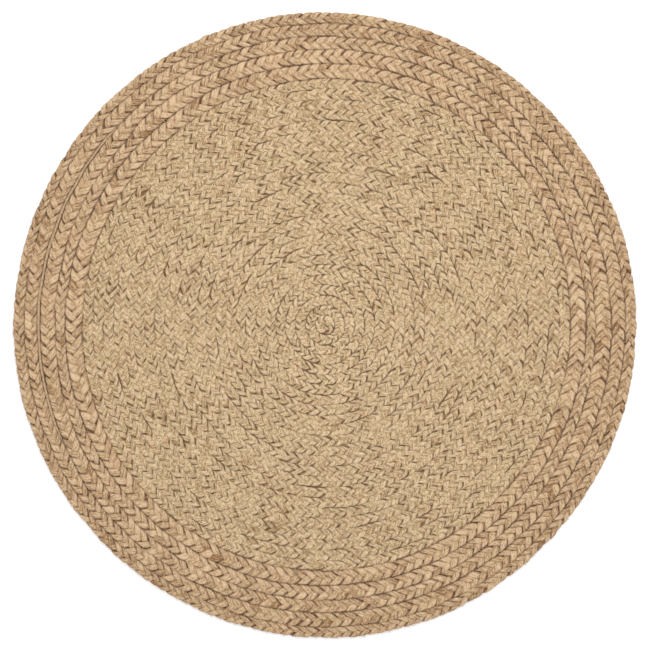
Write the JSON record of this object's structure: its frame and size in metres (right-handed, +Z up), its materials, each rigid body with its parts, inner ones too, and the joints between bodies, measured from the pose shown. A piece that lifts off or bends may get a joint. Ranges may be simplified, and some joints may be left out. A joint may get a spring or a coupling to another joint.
{
  "type": "round braided jute rug",
  "caption": "Flat round rug of three-strand jute braid: narrow closed rounds sewn edge to edge inside a border of heavier rounds, flat below.",
  "frame": {"origin": "centre of the flat underside, on the surface that the rug lies on", "axes": "+Z up out of the rug's top; +X and +Y lie in the rug's plane, with +Y away from the viewer"},
  "size_m": [1.199, 1.2046, 0.012],
  "materials": {
    "field_jute": "dry, matt, undyed straw-coloured jute braid",
    "border_jute": "dry, matt, undyed jute braid, a shade darker and warmer"
  },
  "bodies": {
    "root": {"field": "field_jute", "border_round_1": "border_jute", "border_round_2": "border_jute", "border_round_3": "border_jute", "border_round_4": "border_jute", "border_round_5": "border_jute"}
  },
  "joints": []
}
